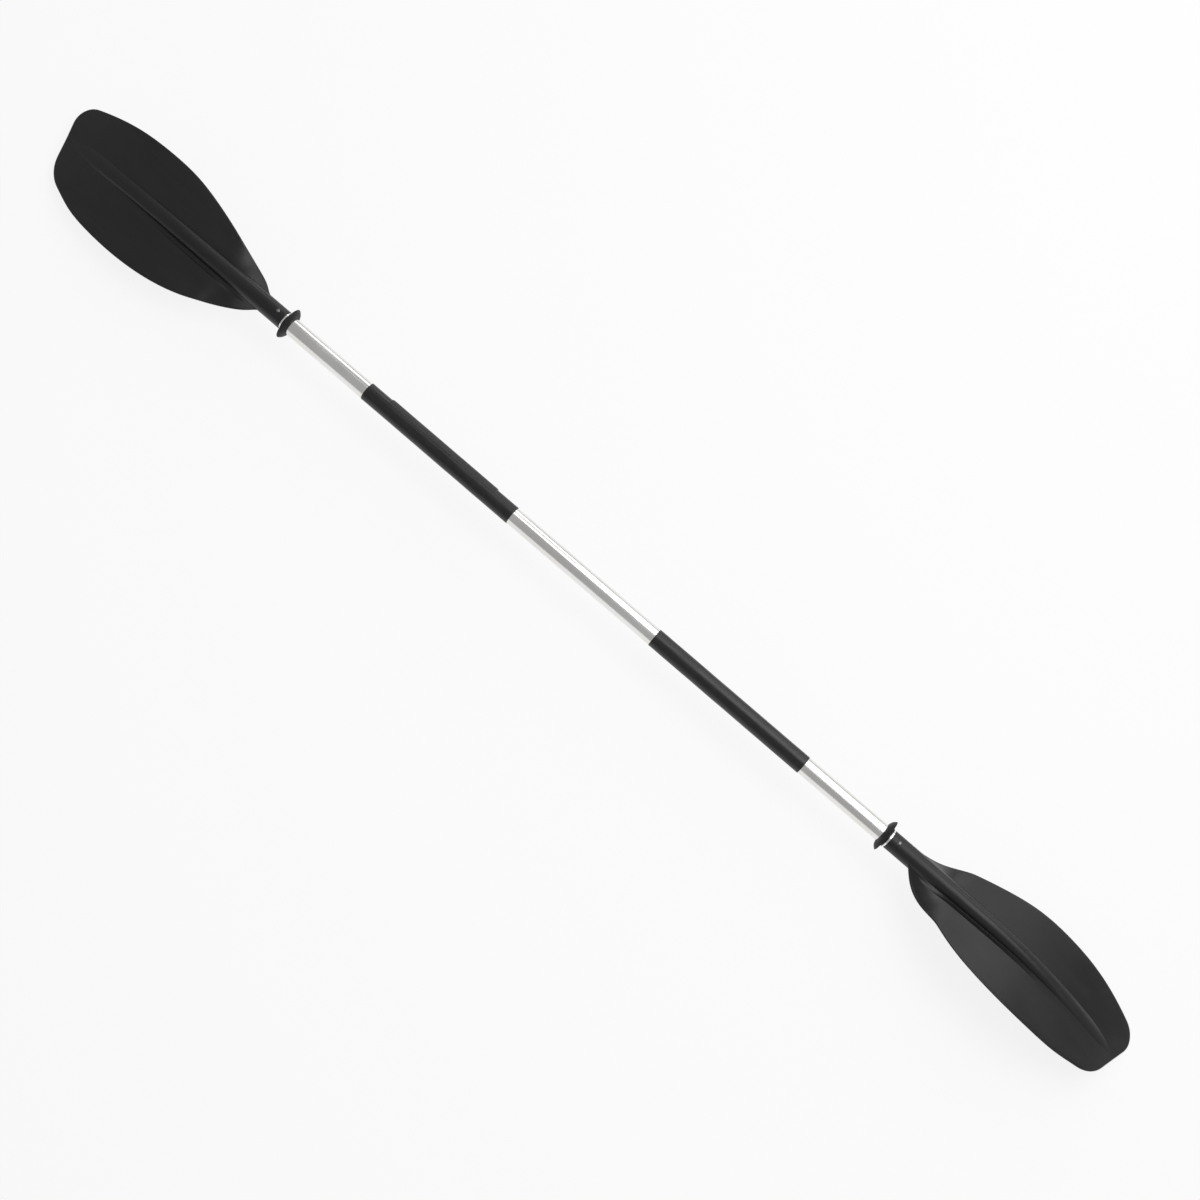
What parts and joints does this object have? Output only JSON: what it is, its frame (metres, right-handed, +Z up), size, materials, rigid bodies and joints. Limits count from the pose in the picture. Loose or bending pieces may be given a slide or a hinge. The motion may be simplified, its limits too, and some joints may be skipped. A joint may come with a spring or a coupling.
{
  "type": "kayak paddle",
  "caption": "Double-bladed kayak paddle: straight aluminium shaft, feathered asymmetric spoon blades, two hand grips, an index strip and sliding drip rings.",
  "frame": {"origin": "on the shaft's axis at the middle of its length", "axes": "+X along the shaft to the right blade, +Z up when the paddle lies on a floor with the ribbed back faces of its blades up, +Y towards the long edges of the blades"},
  "size_m": [2.1892, 0.178, 0.099],
  "materials": {
    "shaft_aluminium": "brushed and clear anodised",
    "blade_plastic": "moulded satin black with faint flow marks",
    "grip_sleeve": "satin black shrink sleeve",
    "ring_rubber": "matt black moulded rubber",
    "plug_plastic": "plain moulded plastic",
    "glue": "cured adhesive",
    "tape": "double-sided adhesive tape",
    "rivet_metal": "plain",
    "mandrel_steel": "plain"
  },
  "bodies": {
    "paddle": {"shaft_tube": "shaft_aluminium", "index_strip": "plug_plastic", "index_tape": "tape", "left_blade": "blade_plastic", "left_grip_sleeve": "grip_sleeve", "left_tube_plug": "plug_plastic", "left_socket_glue": "glue", "left_blade_rivet": "rivet_metal", "left_rivet_mandrel": "mandrel_steel", "right_blade": "blade_plastic", "right_grip_sleeve": "grip_sleeve", "right_tube_plug": "plug_plastic", "right_socket_glue": "glue", "right_blade_rivet": "rivet_metal", "right_rivet_mandrel": "mandrel_steel"},
    "left_ring": {"left_drip_ring": "ring_rubber"},
    "right_ring": {"right_drip_ring": "ring_rubber"}
  },
  "joints": [
    {"name": "left_ring_slide", "type": "slide", "parent": "paddle", "child": "left_ring", "axis": [1, 0, 0], "range_m": [-0.0025, 0.154]},
    {"name": "right_ring_slide", "type": "slide", "parent": "paddle", "child": "right_ring", "axis": [-1, 0, 0], "range_m": [-0.0025, 0.154]}
  ]
}
